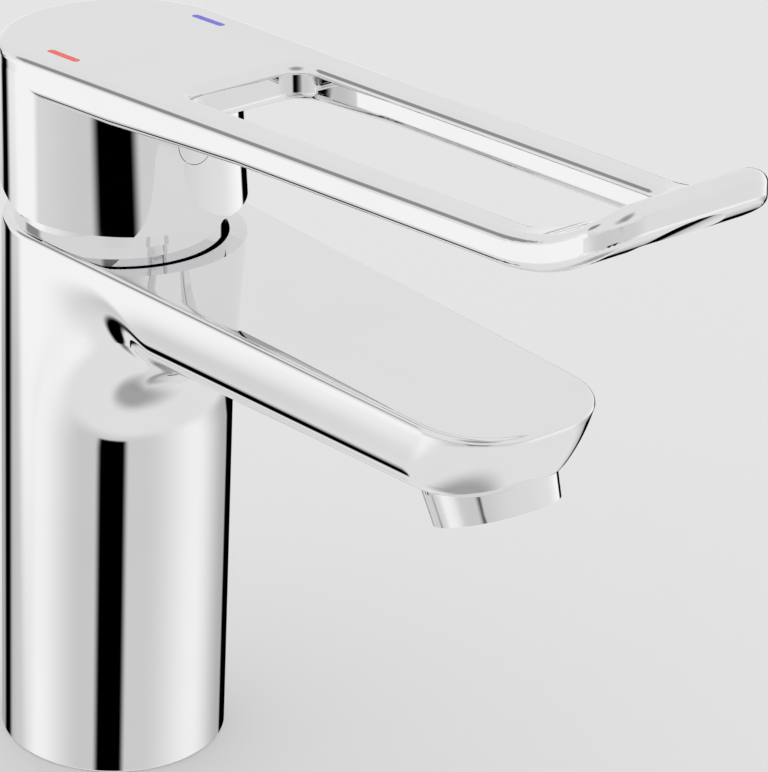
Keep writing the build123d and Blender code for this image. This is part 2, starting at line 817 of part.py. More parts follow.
pieces = {
    "tap_body": make_tap_body,
    "base_gasket": make_base_gasket,
    "base_seals": make_base_seals,
    "cartridge_base": make_cartridge_base,
    "disc_seals": make_disc_seals,
    "cartridge_housing": make_cartridge_housing,
    "housing_seal": make_housing_seal,
    "fixed_disc": make_fixed_disc,
    "moving_disc": make_moving_disc,
    "disc_slider": make_disc_slider,
    "stem_carrier": make_stem_carrier,
    "pivot_pin": make_pivot_pin,
    "cartridge_stem": make_cartridge_stem,
    "cartridge_nut": make_cartridge_nut,
    "temperature_stop": make_temperature_stop,
    "cartridge_cap": make_cartridge_cap,
    "lever": make_lever,
    "grub_screw": make_grub_screw,
    "screw_cover": make_screw_cover,
    "hot_mark": make_hot_mark,
    "cold_mark": make_cold_mark,
    "aerator_housing": make_aerator_housing,
    "aerator_insert": make_aerator_insert,
    "aerator_screen": make_aerator_screen,
    "aerator_seal": make_aerator_seal,
}

os.makedirs("parts", exist_ok=True)
for name, make in pieces.items():
    shape = make()
    if isinstance(shape, list):
        shape = Compound(children=[solid for item in shape for solid in item.solids()])
    export_step(shape, f"parts/{name}.step")
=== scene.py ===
import math

import bmesh
import bpy
import numpy as np
from bpy.props import FloatProperty, FloatVectorProperty, PointerProperty
from mathutils import Matrix, Vector


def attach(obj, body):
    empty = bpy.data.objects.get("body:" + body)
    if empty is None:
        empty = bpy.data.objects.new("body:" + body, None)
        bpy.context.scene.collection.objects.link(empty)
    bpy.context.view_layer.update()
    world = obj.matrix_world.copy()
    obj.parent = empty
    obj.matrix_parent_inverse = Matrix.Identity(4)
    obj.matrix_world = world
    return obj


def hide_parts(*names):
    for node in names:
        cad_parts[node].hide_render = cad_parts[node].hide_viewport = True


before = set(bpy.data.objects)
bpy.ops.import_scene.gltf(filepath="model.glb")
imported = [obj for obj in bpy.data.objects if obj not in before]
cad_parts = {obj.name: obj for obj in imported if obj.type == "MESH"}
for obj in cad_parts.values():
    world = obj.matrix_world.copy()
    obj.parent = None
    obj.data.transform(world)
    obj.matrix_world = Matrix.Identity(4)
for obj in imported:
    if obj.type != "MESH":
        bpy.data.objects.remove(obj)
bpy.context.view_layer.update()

bl_info = {
    "name": "Elbow Lever Tap",
    "version": (1, 0, 0),
    "blender": (4, 5, 0),
    "location": "3D View > Sidebar > Tap",
    "description": "Finishes an elbow lever basin tap: polished body and lever, marks, cartridge and studio",
    "category": "Object",
}

# Which finish each packed node wears
CHROME_NODES = ("lever", "cartridge_cap", "screw_cover", "aerator_housing")
RUBBER_NODES = ("base_gasket", "base_seals", "disc_seals", "housing_seal", "aerator_seal")
STEEL_NODES = ("cartridge_stem", "pivot_pin", "grub_screw", "aerator_screen")
CERAMIC_NODES = ("fixed_disc", "moving_disc")
GREY_PLASTIC_NODES = ("cartridge_base", "cartridge_housing", "disc_slider", "stem_carrier")

# The nose leans back by this share of its undercut evenly with depth, and by the rest with its square
NOSE_LEAN = 0.63
# Parts of the outline's parameter where the side ends and where the corner ends
SIDE_PART = 0.62
CORNER_PART = 0.86
# The joint's outward bend beside the column, as a part of the largest that fits
BULGE_PART = 0.35
# Columns of the body's grid: over half the spout, crowded towards its root, and behind the column
FRONT_COLUMNS = 120
FRONT_CROWDING = 1.15
BACK_COLUMNS = 72
# Rows of the body's grid, from the bore down to the foot
TOP_ROWS = 8
EDGE_ROWS = 8
WALL_ROWS = 8
KEEL_ROWS = 18
UNDER_ROWS = 12
JOINT_ROWS = 22
COLUMN_ROWS = 10
# How the wall's lean is measured: over this share of the depth up and down, in a few rounds
LEAN_STEP = 0.004
LEAN_ROUNDS = 5
# Lengths in metres: the smallest gap from keel to column, the depth that parts inside from outside,
# the wall that hides the inside, and the distance at which doubled corners are merged
LEAST_GAP = 0.00001
SKIN = 0.0001
WALL_SKIN = 0.0005
MERGE_DISTANCE = 0.000001
# The spout's waterway lies within these shares of the column's radius, the reach and the depth
WATERWAY_WIDTH = 1 / 3
WATERWAY_REACH = 0.9
WATERWAY_DEPTH = 0.8
SHARP_ANGLE = math.radians(30)

# Brightness that the plating throws back, and of the backdrop behind the tap
PLATING = 0.9
BACKDROP = 0.85
# Half the floor's width in metres, and its cells each way
FLOOR_REACH = 3.0
FLOOR_CELLS = 8
# The room as seen in the plating. Directions are in degrees: azimuth 0 is where the spout points, +90 the
# tap's right. Shades run from 0 to 255.
CEILING_SHADE = 222
FLOOR_SHADE = 222
UNDER_SHADE = 160
# Elevations between which one level of the room passes smoothly into the next
LOW_TO_MIDDLE = (-26, -20)
MIDDLE_TO_CEILING = (-8, 14)
LOW_TO_FLOOR = (-32, -42)
FLOOR_TO_UNDER = (-62, -80)
# Screens round the room, each an azimuth and a shade
LOW_SCREENS = (
    (-180, 168), (-150, 200), (-122, 241), (-70, 198), (-10, 202),
    (50, 239), (100, 175), (150, 165), (180, 168),
)
MIDDLE_SCREENS = (
    (-180, 215), (-160, 232), (-120, 212), (-75, 200), (0, 205),
    (60, 222), (100, 245), (150, 232), (180, 215),
)
# Round patches: azimuth, elevation, radius, softness and shade
PATCHES = (
    (-43, 52, 20, 24, 150),
    (-147, 25, 12, 7, 140),
    (-139, -13, 16, 8, 243),
    (-156, -44, 7, 4, 0),
)
# Dark flags: azimuth, half width, softness of the sides, lowest and highest elevation
FLAGS = (
    (-42, 14, 7, -33, -22),
    (-43, 19, 10, -15.6, -8),
    (120, 15, 5, -34, -8),
    (-178, 9, 9, -34, -8),
)
# Half the softness of a flag's upper and lower ends
FLAG_EDGE = 1.0


def length(name, description, default):
    """A size in metres that a user may change."""
    return FloatProperty(name=name, description=description, default=default, min=0.0, unit="LENGTH",
                         precision=5)


def share(name, description, default):
    """A plain number from 0 to 1."""
    return FloatProperty(name=name, description=description, default=default, min=0.0, max=1.0,
                         subtype="FACTOR")


def angle(name, description, default):
    """An angle, given in degrees and kept in radians."""
    return FloatProperty(name=name, description=description, default=math.radians(default), unit="ROTATION")


def colour(name, description, default):
    """A linear colour."""
    return FloatVectorProperty(name=name, description=description, default=default, subtype="COLOR",
                               min=0.0, max=1.0)


class BodySizes(bpy.types.PropertyGroup):
    """Sizes of the cast body's outside: column, spout and the soft joint between them."""

    column_radius: length("Column radius", "Outside radius of the upright column", 0.0225)
    top_height: length("Top height", "Height of the spout's top plane on the column's axis", 0.11205)
    top_rise: angle("Top rise", "How steeply the spout's top rises to the nose", 0.92)
    under_rise: angle("Underside rise", "How steeply the spout's underside rises to the nose", 1.72)
    spout_depth: length("Spout depth", "Depth of the spout at the column", 0.0166)
    spout_reach: length("Spout reach", "From the column's axis to the top of the nose", 0.1216)
    nose_half_width: length("Nose half width", "Half the spout's width where the nose begins", 0.0181)
    side_draw: length("Side draw", "How far the spout's sides draw in at the bottom", 0.0024)
    nose_undercut: length("Nose undercut", "How far the nose draws back at the bottom", 0.0056)
    nose_crown: length("Nose crown", "How far the nose bulges forward in its middle", 0.0016)
    corner_radius: length("Corner radius", "Radius of the nose's corners at the top", 0.0142)
    corner_growth: length("Corner growth", "How much more that radius is at the bottom", 0.0013)
    keel_radius: length("Keel radius", "Rounding along the spout's lower edge", 0.007)
    joint_radius: length("Joint radius", "Hollow rounding from the spout's underside to the column", 0.024)
    edge_radius: length("Top edge radius", "Rounding along the top edge", 0.0012)
    bore_radius: length("Bore radius", "Radius of the threaded opening in the top", 0.019)
    foot_chamfer: length("Foot chamfer", "Small chamfer round the foot", 0.0004)
    groove_radius: length("Groove radius", "Outer radius of the gasket's groove in the foot", 0.0209)
    partner_spread: length("Joint spread", "How far along the spout the joint swings to the front", 0.052)
    blend_top: length("Joint top", "How far below the top the soft joint starts beside the column", 0.003)
    blend_range: FloatVectorProperty(
        name="Joint range", description="Gaps to the column between which the soft joint fades",
        size=2, default=(0.0075, 0.021), min=0.0, unit="LENGTH")


class ChromeFinish(bpy.types.PropertyGroup):
    """The polished plating on every outside piece."""

    tint: colour("Tint", "Colour of the plating", (0.9, 0.9, 0.905))
    roughness: share("Roughness", "Least roughness of the polish", 0.02)
    haze: share("Haze", "How much rougher the haziest patches are", 0.02)
    waviness: share("Waviness", "Strength of the long, faint waves that polishing leaves", 0.03)


class InsideColours(bpy.types.PropertyGroup):
    """Colours of the temperature marks and of the pieces inside."""

    hot: colour("Hot mark", "Colour of the hot mark", (1.0, 0.095, 0.07))
    cold: colour("Cold mark", "Colour of the cold mark", (0.14, 0.12, 0.82))
    rubber: colour("Rubber", "Colour of gaskets and seals", (0.02, 0.02, 0.021))
    brass: colour("Brass", "Colour of the cartridge nut", (0.78, 0.57, 0.27))
    steel: colour("Steel", "Colour of stem, pin and screws", (0.62, 0.61, 0.59))
    ceramic: colour("Ceramic", "Colour of the two discs", (0.82, 0.8, 0.75))
    grey_plastic: colour("Grey plastic", "Colour of the cartridge's shell", (0.26, 0.27, 0.28))
    red_plastic: colour("Red plastic", "Colour of the temperature stop", (0.6, 0.04, 0.03))
    white_plastic: colour("White plastic", "Colour of the jet former", (0.8, 0.8, 0.78))


class StudioSetup(bpy.types.PropertyGroup):
    """Floor, room and camera."""

    floor: colour("Floor", "Colour of the floor", (0.86, 0.86, 0.86))
    room_light: share("Room light", "Brightness of the room on matt surfaces", 0.92)
    azimuth: angle("Camera azimuth", "Where the camera stands: 0 is in front of the nose", -41.682)
    elevation: angle("Camera elevation", "How high the camera looks from", 25.578)
    roll: angle("Camera roll", "Turn of the camera about its own axis", 2.711)
    sensor: FloatProperty(name="Sensor", description="Width of the sensor, in millimetres", default=36)
    lens: FloatProperty(name="Lens", description="Focal length, in millimetres", default=175.26)
    stand: FloatVectorProperty(name="Camera stand", description="Where the camera is", subtype="TRANSLATION",
                               default=(-0.39767, -0.52456, 0.39099))


class Nodes:
    """Short ways to add and join shader nodes in one tree."""

    def __init__(self, tree):
        self.tree = tree
        tree.nodes.clear()

    def add(self, kind, **settings):
        """A new node of a kind, with its settings."""
        node = self.tree.nodes.new(kind)
        for key, value in settings.items():
            setattr(node, key, value)
        return node

    def feed(self, value, socket):
        """Links an output to a socket, or sets a plain value on it."""
        if isinstance(value, bpy.types.NodeSocket):
            self.tree.links.new(value, socket)
        else:
            socket.default_value = value

    def math(self, operation, first, second=0.0):
        """One sum with one or two numbers."""
        node = self.add("ShaderNodeMath", operation=operation)
        self.feed(first, node.inputs[0])
        self.feed(second, node.inputs[1])
        return node.outputs[0]

    def step(self, value, start, end, low=0.0, high=1.0):
        """A smooth change from low to high while value goes from start to end."""
        node = self.add("ShaderNodeMapRange", interpolation_type="SMOOTHSTEP")
        sides = ("Value", "From Min", "From Max", "To Min", "To Max")
        for name, setting in zip(sides, (value, start, end, low, high)):
            self.feed(setting, node.inputs[name])
        return node.outputs[0]

    def mix(self, amount, first, second):
        """A number between two others."""
        node = self.add("ShaderNodeMix", data_type="FLOAT")
        self.feed(amount, node.inputs[0])
        self.feed(first, node.inputs[2])
        self.feed(second, node.inputs[3])
        return node.outputs[0]

    def mix_colour(self, amount, first, second):
        """A colour between two others."""
        node = self.add("ShaderNodeMix", data_type="RGBA")
        self.feed(amount, node.inputs[0])
        self.feed((*first, 1), node.inputs[6])
        self.feed((*second, 1), node.inputs[7])
        return node.outputs[2]

    def noise(self, scale, detail, stretch=(1, 1, 1)):
        """Noise in the piece's own coordinates, per metre, drawn out along an axis where asked for."""
        place = self.add("ShaderNodeTexCoord").outputs["Object"]
        mapping = self.add("ShaderNodeMapping")
        self.feed(place, mapping.inputs["Vector"])
        mapping.inputs["Scale"].default_value = stretch
        node = self.add("ShaderNodeTexNoise")
        self.feed(mapping.outputs[0], node.inputs["Vector"])
        node.inputs["Scale"].default_value = scale
        node.inputs["Detail"].default_value = detail
        return node.outputs["Fac"]

    def bump(self, height, strength, distance):
        """Normals tilted by a height."""
        node = self.add("ShaderNodeBump")
        node.inputs["Strength"].default_value = strength
        node.inputs["Distance"].default_value = distance
        self.feed(height, node.inputs["Height"])
        return node.outputs[0]

    def surface(self, base_color, metallic, roughness, normal=None):
        """The material's Principled shader, joined to the output."""
        shader = self.add("ShaderNodeBsdfPrincipled")
        self.feed(base_color, shader.inputs["Base Color"])
        self.feed(metallic, shader.inputs["Metallic"])
        self.feed(roughness, shader.inputs["Roughness"])
        if normal is not None:
            self.feed(normal, shader.inputs["Normal"])
        output = self.add("ShaderNodeOutputMaterial")
        self.feed(shader.outputs[0], output.inputs["Surface"])


def material(name):
    """A new node material and its node builder."""
    made = bpy.data.materials.new(name)
    made.use_nodes = True
    return made, Nodes(made.node_tree)


def shaded(tint, factor):
    """A colour made darker or lighter by a factor."""
    return tuple(min(1.0, part * factor) for part in tint)


def polished_chrome(finish):
    """Bright plating: a mirror with slightly hazy patches, fine wiping marks and long faint waves."""
    made, nodes = material("polished_chrome")
    patches = nodes.step(nodes.noise(scale=38, detail=4), start=0.42, end=0.68)
    wiping = nodes.step(nodes.noise(scale=900, detail=2, stretch=(1, 1, 0.04)), start=0.5, end=0.8)
    haze = nodes.math("MULTIPLY", nodes.math("ADD", patches, wiping), finish.haze / 2)
    waves = nodes.noise(scale=26, detail=1)
    nodes.surface(
        base_color=nodes.mix_colour(patches, finish.tint, shaded(finish.tint, factor=0.985)),
        metallic=1.0,
        roughness=nodes.math("ADD", haze, finish.roughness),
        normal=nodes.bump(waves, strength=finish.waviness, distance=0.0004),
    )
    return made


def chrome(context):
    """The shared plating, made on first use."""
    return bpy.data.materials.get("polished_chrome") or polished_chrome(context.scene.tap_chrome)


def turned_metal(name, tint, roughness, grain):
    """Bare turned metal: fine rings across the axis and a little stain."""
    made, nodes = material(name)
    rings = nodes.noise(scale=grain, detail=2, stretch=(0.05, 0.05, 1))
    stain = nodes.step(nodes.noise(scale=160, detail=4), start=0.35, end=0.75)
    nodes.surface(
        base_color=nodes.mix_colour(stain, tint, shaded(tint, factor=0.82)),
        metallic=1.0,
        roughness=nodes.mix(rings, roughness, roughness + 0.14),
        normal=nodes.bump(rings, strength=0.25, distance=0.00005),
    )
    return made


def moulded(name, tint, roughness, grain, depth):
    """Moulded plastic or rubber: a fine grain and faint cloudiness in its colour."""
    made, nodes = material(name)
    cloud = nodes.step(nodes.noise(scale=90, detail=3), start=0.3, end=0.7)
    fine = nodes.noise(scale=grain, detail=3)
    nodes.surface(
        base_color=nodes.mix_colour(cloud, tint, shaded(tint, factor=0.86)),
        metallic=0.0,
        roughness=nodes.mix(fine, roughness, roughness + 0.12),
        normal=nodes.bump(fine, strength=0.3, distance=depth),
    )
    return made


def fired_ceramic(tint):
    """Lapped ceramic: close to white, faintly speckled, smooth."""
    made, nodes = material("fired_ceramic")
    speckle = nodes.step(nodes.noise(scale=2600, detail=2), start=0.6, end=0.72)
    nodes.surface(
        base_color=nodes.mix_colour(speckle, tint, shaded(tint, factor=0.8)),
        metallic=0.0,
        roughness=nodes.mix(speckle, 0.16, 0.3),
    )
    return made


def mark_enamel(name, tint):
    """Filled enamel in a temperature mark: even colour, slightly uneven gloss."""
    made, nodes = material(name)
    flow = nodes.noise(scale=700, detail=3)
    nodes.surface(
        base_color=nodes.mix_colour(nodes.step(flow, start=0.3, end=0.8), tint, shaded(tint, factor=0.9)),
        metallic=0.0,
        roughness=nodes.mix(flow, 0.32, 0.45),
        normal=nodes.bump(flow, strength=0.12, distance=0.00004),
    )
    return made


def dress(names, made):
    """Gives packed nodes one material."""
    for name in names:
        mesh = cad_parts[name].data
        mesh.materials.clear()
        mesh.materials.append(made)


def smooth_step(value, start, end):
    """0 before start, 1 after end, and a smooth S between them."""
    t = np.clip((value - start) / (end - start), 0, 1)
    return t * t * (3 - 2 * t)


def half_outline(sizes, u, depth_share):
    """The left half of the spout's plan at a share of its depth, as points and outward normals.

    u runs from 0, where the side leaves the column's circle as a tangent, to 1 at the middle of the
    nose. A straight tapering side is followed by a round corner that touches both it and the long arc
    of the crowned nose. Every depth keeps the same parts of u for the three stretches, so the lines
    of equal u run down the wall.
    """
    leaned = NOSE_LEAN * depth_share + (1 - NOSE_LEAN) * depth_share**2
    reach = sizes.spout_reach - sizes.nose_undercut * leaned
    shoulder = reach - sizes.nose_crown
    radius = sizes.corner_radius + sizes.corner_growth * depth_share
    draw = sizes.side_draw * depth_share**3
    circle = sizes.column_radius - draw
    narrow = sizes.nose_half_width - draw
    corner_y = shoulder - sizes.corner_radius
    taper = np.arctan2(corner_y, narrow) - np.arccos(circle / np.hypot(narrow, corner_y))
    normal_x, normal_y = -np.cos(taper), -np.sin(taper)

    nose_radius = (narrow**2 + sizes.nose_crown**2) / (2 * sizes.nose_crown)
    nose_y = nose_radius - reach
    base_x, base_y = normal_x * (circle - radius), normal_y * (circle - radius)
    ahead_x, ahead_y = -normal_y, normal_x
    half_b = ahead_x * base_x + ahead_y * (base_y - nose_y)
    rest = base_x**2 + (base_y - nose_y) ** 2 - (nose_radius - radius) ** 2
    forward = -half_b + np.sqrt(half_b**2 - rest)
    centre_x, centre_y = base_x + ahead_x * forward, base_y + ahead_y * forward

    side_angle = np.pi + taper
    nose_angle = np.arctan2(centre_y - nose_y, centre_x) % (2 * np.pi)
    along_side = np.clip(u / SIDE_PART, 0, 1)
    round_corner = np.clip((u - SIDE_PART) / (CORNER_PART - SIDE_PART), 0, 1)
    along_nose = np.clip((u - CORNER_PART) / (1 - CORNER_PART), 0, 1)
    turn = side_angle + (nose_angle - side_angle) * round_corner
    bow = nose_angle + (1.5 * np.pi - nose_angle) * along_nose
    side_x = circle * normal_x + ahead_x * forward * along_side
    side_y = circle * normal_y + ahead_y * forward * along_side
    x = np.where(u < SIDE_PART, side_x, centre_x + radius * np.cos(turn))
    y = np.where(u < SIDE_PART, side_y, centre_y + radius * np.sin(turn))
    x = np.where(u < CORNER_PART, x, nose_radius * np.cos(bow))
    y = np.where(u < CORNER_PART, y, nose_y + nose_radius * np.sin(bow))
    facing = np.where(u < CORNER_PART, turn, bow)
    return np.stack([x, y], -1), np.stack([np.cos(facing), np.sin(facing)], -1)


def ring_outline(sizes, u, side, turn, depth_share):
    """The whole body's plan at a share of its depth: the spout's half outline in front, mirrored where
    side is -1, and the column's circle behind, where turn is the azimuth of a point and not empty."""
    front, facing = half_outline(sizes, u, depth_share)
    mirror = np.stack([side, np.ones_like(side)], -1)
    around = np.nan_to_num(turn)
    radial = np.stack([np.sin(around), -np.cos(around)], -1)
    on_circle = ~np.isnan(turn)[..., None]
    point = np.where(on_circle, sizes.column_radius * radial, front * mirror)
    normal = np.where(on_circle, radial, facing * mirror)
    return point, normal


def stations(count):
    """Even shares from 0 to 1, without the 0."""
    return np.linspace(0, 1, count + 1)[1:]


class BodyGrid:
    """The outside of the cast body as a grid: its columns go round the plan, and its rows go from the
    bore's edge over the top, down the wall, round the keel, along the underside, through the hollow
    joint and down the upright to the gasket's groove.

    Each place on the spout's outline has a partner on the upright's circle, whose azimuth dies away
    along the outline as an exponential. Between the two the profile bulges (the keel), runs straight
    and turns hollow (the joint). Where they are too near each other for a quarter of a circle each,
    both arcs stop at the angle t with
    tan(t / 2) = (gap + bulge (1 - cos lean)) / (drop + bulge sin lean), and make one smooth S.
    """

    def __init__(self, sizes):
        self.sizes = sizes
        self.lay_out()
        self.find_keel()
        self.find_arcs()

    def lay_out(self):
        """Places the grid's columns round the plan, each with its partner on the upright's circle."""
        sizes = self.sizes
        front = np.linspace(0, 1, FRONT_COLUMNS) ** FRONT_CROWDING
        root = half_outline(sizes, np.zeros(1), np.zeros(1))[0][0]
        start = math.atan2(-root[0], -root[1])
        behind = np.linspace(start, 2 * np.pi - start, BACK_COLUMNS + 2)[1:-1]
        ones = np.ones(FRONT_COLUMNS)
        self.u = np.concatenate([front, front[-2::-1], np.zeros(BACK_COLUMNS)])
        self.side = np.concatenate([ones, -ones[1:], np.ones(BACK_COLUMNS)])
        self.turn = np.concatenate([np.full(2 * FRONT_COLUMNS - 1, np.nan), behind])
        self.top_point = ring_outline(sizes, self.u, self.side, self.turn, np.zeros_like(self.u))[0]
        strides = np.linalg.norm(np.diff(self.top_point[:FRONT_COLUMNS], axis=0), axis=1)
        run = np.concatenate([[0], np.cumsum(strides)])
        fade = np.exp(-run / sizes.partner_spread)
        azimuth = start * (fade - fade[-1]) / (1 - fade[-1])
        around = np.concatenate([-azimuth, azimuth[-2::-1], behind])
        self.partner = np.stack([np.sin(around), -np.cos(around)], -1)
        self.upright = sizes.column_radius * self.partner
        distance = np.linalg.norm(self.top_point - self.upright, axis=1)
        self.far = smooth_step(distance, *sizes.blend_range)

    def wall(self, share_down):
        """Points and normals at a share of the depth: the draw of the walls fades out near the upright."""
        drawn, normal = ring_outline(self.sizes, self.u, self.side, self.turn, share_down)
        return self.top_point + (drawn - self.top_point) * self.far[:, None], normal

    def find_keel(self):
        """Finds how far down the keel starts and how much the wall leans there, in a few rounds."""
        sizes, depth = self.sizes, self.sizes.spout_depth
        start = np.full_like(self.far, depth - sizes.keel_radius)
        for _round in range(LEAN_ROUNDS):
            share_down = start / depth
            upper = self.wall(share_down - LEAN_STEP)[0]
            lower, normal = self.wall(share_down + LEAN_STEP)
            drawn_in = np.einsum("ij,ij->i", upper - lower, normal)
            self.lean = np.arctan(drawn_in / (2 * LEAN_STEP * depth))
            full_start = depth - sizes.keel_radius * (1 - np.sin(self.lean))
            start = sizes.blend_top + (full_start - sizes.blend_top) * self.far
        self.keel_start = start
        self.keel_point, self.keel_normal = self.wall(start / depth)

    def find_arcs(self):
        """Finds the radii of both arcs, the angle where they stop and the straight run between them."""
        sizes, lean = self.sizes, self.lean
        gap = np.maximum(np.linalg.norm(self.keel_point - self.upright, axis=1), LEAST_GAP)
        drop = sizes.spout_depth + sizes.joint_radius - self.keel_start
        largest = (drop**2 + gap**2) / (2 * gap)
        bulge = sizes.keel_radius + (BULGE_PART * largest - sizes.keel_radius) * (1 - self.far)
        half_arc = np.arctan((gap + bulge * (1 - np.cos(lean))) / (drop + bulge * np.sin(lean)))
        arc = np.minimum(2 * half_arc, np.pi / 2)
        self.gap, self.bulge, self.arc = gap, bulge, arc
        self.hollow = (drop + bulge * np.sin(lean)) / np.sin(arc) - bulge
        self.bulge_run = bulge * (np.cos(lean) - np.cos(arc))
        self.bulge_drop = bulge * (np.sin(arc) - np.sin(lean))
        self.straight = np.maximum(gap - self.bulge_run - self.hollow * (1 - np.cos(arc)), 0)

    def row(self, plan, down):
        """A row from its plan and its depth below the sloping top. Within the spout's depth the slope
        passes evenly from the top's to the underside's."""
        sizes, depth, y = self.sizes, self.sizes.spout_depth, plan[:, 1]
        top = sizes.top_height - y * math.tan(sizes.top_rise)
        under = sizes.top_height - depth - y * math.tan(sizes.under_rise)
        part = np.clip(down / depth, None, 1)
        height = top + (under - top) * part - np.maximum(down - depth, 0)
        return np.concatenate([plan, height[:, None]], -1)

    def underneath(self, across, down):
        """A row at a distance along the way from the keel to the upright, in plan a cubic Bezier curve
        that leaves the keel and meets the upright squarely."""
        w = np.clip(across / self.gap, 0, 1)[:, None]
        handle = self.gap[:, None] / 3
        one = self.keel_point - handle * self.keel_normal
        two = self.upright + handle * self.partner
        ends = self.keel_point * (1 - w) ** 3 + self.upright * w**3
        return self.row(ends + 3 * one * w * (1 - w) ** 2 + 3 * two * w**2 * (1 - w), down)

    def top_rows(self):
        """Out from the bore's edge over the top, then a quarter of a circle over the edge."""
        edge = self.sizes.edge_radius
        point, normal = self.wall(np.full_like(self.far, edge / self.sizes.spout_depth))
        inner = point - edge * normal
        bore = self.sizes.bore_radius * self.partner
        for part in np.linspace(0, 1, TOP_ROWS + 1)[:-1]:
            yield self.row(bore + (inner - bore) * part, np.zeros_like(self.far))
        for tilt in np.linspace(np.pi / 2, 0, EDGE_ROWS + 1):
            down = np.full_like(self.far, edge * (1 - np.sin(tilt)))
            yield self.row(point - edge * (1 - np.cos(tilt)) * normal, down)

    def wall_rows(self):
        """Down the wall to the keel."""
        edge = self.sizes.edge_radius
        for part in stations(WALL_ROWS):
            down = edge + (self.keel_start - edge) * part
            yield self.row(self.wall(down / self.sizes.spout_depth)[0], down)

    def keel_rows(self):
        """Round the keel, an arc from the wall's lean to the angle where it stops."""
        for part in stations(KEEL_ROWS):
            tilt = self.lean + (self.arc - self.lean) * part
            across = self.bulge * (np.cos(self.lean) - np.cos(tilt))
            down = self.keel_start + self.bulge * (np.sin(tilt) - np.sin(self.lean))
            yield self.underneath(across, down)

    def under_rows(self):
        """Straight along the underside, where both arcs leave room for it."""
        for part in stations(UNDER_ROWS):
            yield self.underneath(self.bulge_run + self.straight * part, self.keel_start + self.bulge_drop)

    def joint_rows(self):
        """Through the hollow joint, an arc that ends upright on the column's circle."""
        for part in stations(JOINT_ROWS):
            tilt = self.arc * (1 - part)
            across = self.bulge_run + self.straight + self.hollow * (np.cos(tilt) - np.cos(self.arc))
            down = self.keel_start + self.bulge_drop + self.hollow * (np.sin(self.arc) - np.sin(tilt))
            yield self.underneath(across, down)

    def upright_rows(self, above):
        """From the row above straight down the column, over the foot's chamfer to the gasket's groove."""
        sizes = self.sizes
        for part in stations(COLUMN_ROWS):
            height = above[:, 2] * (1 - part) + sizes.foot_chamfer * part
            yield np.concatenate([self.upright, height[:, None]], -1)
        ground = np.zeros((len(self.far), 1))
        for radius in (sizes.column_radius - sizes.foot_chamfer, sizes.groove_radius):
            yield np.concatenate([radius * self.partner, ground], -1)

    def rows(self):
        """All the rows in order, as one array."""
        made = [*self.top_rows(), *self.wall_rows(), *self.keel_rows(), *self.under_rows()]
        made += self.joint_rows()
        made += self.upright_rows(made[-1])
        return np.array(made)


def grid_faces(row_count, column_count):
    """The four corners of every cell of a grid whose columns close into a ring."""
    row, column = np.mgrid[0:row_count - 1, 0:column_count]
    after = (column + 1) % column_count
    corners = (row * column_count + column, (row + 1) * column_count + column,
               (row + 1) * column_count + after, row * column_count + after)
    return np.stack(corners, -1).reshape(-1, 4)


def inner_triangles(name, sizes):
    """The packed body's inside, which stays as it is: bores, chamber and waterway, merged to one mesh.

    A triangle is inside where its middle is nearer to the axis than the column's wall and is neither
    in the top plane nor on the floor, or where it lies deep within the spout.
    """
    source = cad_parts[name].data
    count = len(source.vertices)
    points = np.empty(count * 3)
    source.vertices.foreach_get("co", points)
    points = points.reshape(-1, 3)
    source.calc_loop_triangles()
    corners = np.empty(len(source.loop_triangles) * 3, int)
    source.loop_triangles.foreach_get("vertices", corners)
    corners = corners.reshape(-1, 3)
    places = points[corners]
    middle = places.mean(1)
    radius = np.hypot(middle[:, 0], middle[:, 1])
    down = sizes.top_height - middle[:, 1] * math.tan(sizes.top_rise) - middle[:, 2]
    on_floor = places[:, :, 2].max(1) < SKIN
    in_column = (radius < sizes.column_radius - WALL_SKIN) & (down > SKIN) & ~on_floor
    in_spout = np.abs(middle[:, 0]) < sizes.column_radius * WATERWAY_WIDTH
    in_spout &= (middle[:, 1] > -sizes.spout_reach * WATERWAY_REACH) & (middle[:, 1] < 0)
    in_spout &= (down > sizes.edge_radius) & (down < sizes.spout_depth * WATERWAY_DEPTH)
    kept = corners[in_column | in_spout]
    mesh = bpy.data.meshes.new("inside")
    used, renumbered = np.unique(kept, return_inverse=True)
    mesh.from_pydata(points[used].tolist(), [], renumbered.reshape(-1, 3).tolist())
    work = bmesh.new()
    work.from_mesh(mesh)
    bmesh.ops.remove_doubles(work, verts=work.verts, dist=MERGE_DISTANCE)
    work.to_mesh(mesh)
    work.free()
    return mesh


def finish_piece(name, mesh, made, body, replaced):
    """Puts a mesh into the scene as a piece that rides on a body and replaces a packed node."""
    piece = bpy.data.objects.new(name, mesh)
    bpy.context.scene.collection.objects.link(piece)
    mesh.materials.clear()
    mesh.materials.append(made)
    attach(piece, body)
    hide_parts(replaced)
    return piece


class TAP_OT_body(bpy.types.Operator):
    """Makes the cast body's polished outside and keeps the packed inside"""

    bl_idname = "tap.body"
    bl_label = "Cast body"

    def execute(self, context):
        sizes = context.scene.tap_body
        grid = BodyGrid(sizes).rows()
        rows, columns = grid.shape[:2]
        mesh = bpy.data.meshes.new("cast_body")
        mesh.from_pydata(grid.reshape(-1, 3).tolist(), [], grid_faces(rows, columns).tolist())
        inside = inner_triangles("tap_body", sizes)
        work = bmesh.new()
        work.from_mesh(mesh)
        work.from_mesh(inside)
        work.to_mesh(mesh)
        work.free()
        mesh.polygons.foreach_set("use_smooth", np.ones(len(mesh.polygons), bool))
        mesh.set_sharp_from_angle(angle=SHARP_ANGLE)
        bpy.data.meshes.remove(inside)
        finish_piece("cast_body", mesh, chrome(context), "tap", "tap_body")
        return {"FINISHED"}


class TAP_OT_chrome(bpy.types.Operator):
    """Plates the lever, cap, screw cover and nozzle"""

    bl_idname = "tap.chrome"
    bl_label = "Plated pieces"

    def execute(self, context):
        dress(CHROME_NODES, chrome(context))
        return {"FINISHED"}


